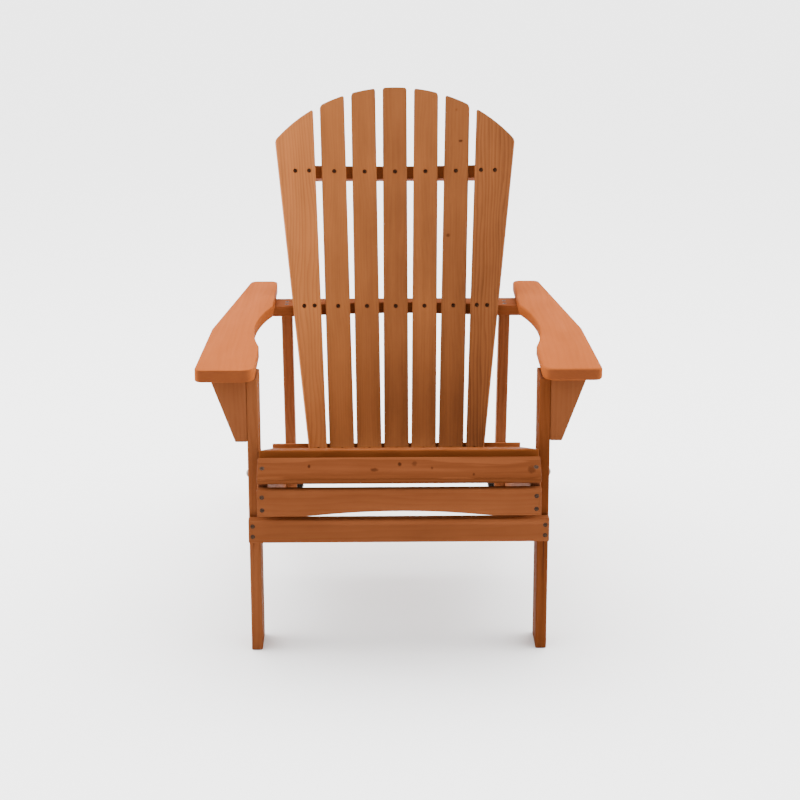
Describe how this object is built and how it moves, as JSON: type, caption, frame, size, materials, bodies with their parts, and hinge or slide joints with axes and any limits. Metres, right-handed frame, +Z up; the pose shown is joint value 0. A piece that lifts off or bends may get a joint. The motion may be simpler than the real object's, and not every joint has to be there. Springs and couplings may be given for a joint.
{
  "type": "adirondack chair",
  "caption": "Wooden Adirondack garden chair: sloping slatted seat, fan back in a hollow curve under an arched top, and wide waisted arms.",
  "frame": {"origin": "on the floor, under the middle of the chair's width and of its length", "axes": "+X to the right of someone who faces the chair's front, +Y from its front to its back, +Z up"},
  "size_m": [0.749, 0.962, 0.9791],
  "materials": {
    "leg_wood": "oiled, satin",
    "arm_wood": "oiled, satin",
    "frame_wood": "oiled, satin",
    "board_wood": "oiled, satin",
    "rail_wood": "oiled, satin",
    "seat_wood": "oiled, satin",
    "back_wood": "oiled, satin",
    "dark_screws": "darkened steel",
    "dowel_wood": "plain",
    "bolt_steel": "weathered zinc plate"
  },
  "bodies": {
    "root": {"leg_left": "leg_wood", "leg_right": "leg_wood", "bracket_left": "leg_wood", "bracket_right": "leg_wood", "arm_left": "arm_wood", "arm_right": "arm_wood", "stringer_left": "frame_wood", "stringer_right": "frame_wood", "post_left": "frame_wood", "post_right": "frame_wood", "stretcher": "board_wood", "arch_board": "board_wood", "nose_slat": "board_wood", "lower_rail": "rail_wood", "middle_rail": "rail_wood", "upper_rail": "rail_wood", "seat_slat_1": "seat_wood", "seat_slat_2": "seat_wood", "seat_slat_3": "seat_wood", "seat_slat_4": "seat_wood", "seat_slat_5": "seat_wood", "seat_slat_6": "seat_wood", "seat_slat_7": "seat_wood", "seat_slat_8": "seat_wood", "back_slat_1": "back_wood", "back_slat_2": "back_wood", "back_slat_3": "back_wood", "back_slat_4": "back_wood", "back_slat_5": "back_wood", "back_slat_6": "back_wood", "back_slat_7": "back_wood", "back_slat_screws": "dark_screws", "seat_slat_screws": "dark_screws", "front_board_screws": "dark_screws", "bracket_screws": "dark_screws", "rail_screws": "dark_screws", "arm_screws": "dark_screws", "arm_dowels": "dowel_wood", "bolts": "bolt_steel", "washers": "bolt_steel", "cap_nuts": "bolt_steel"}
  },
  "joints": []
}
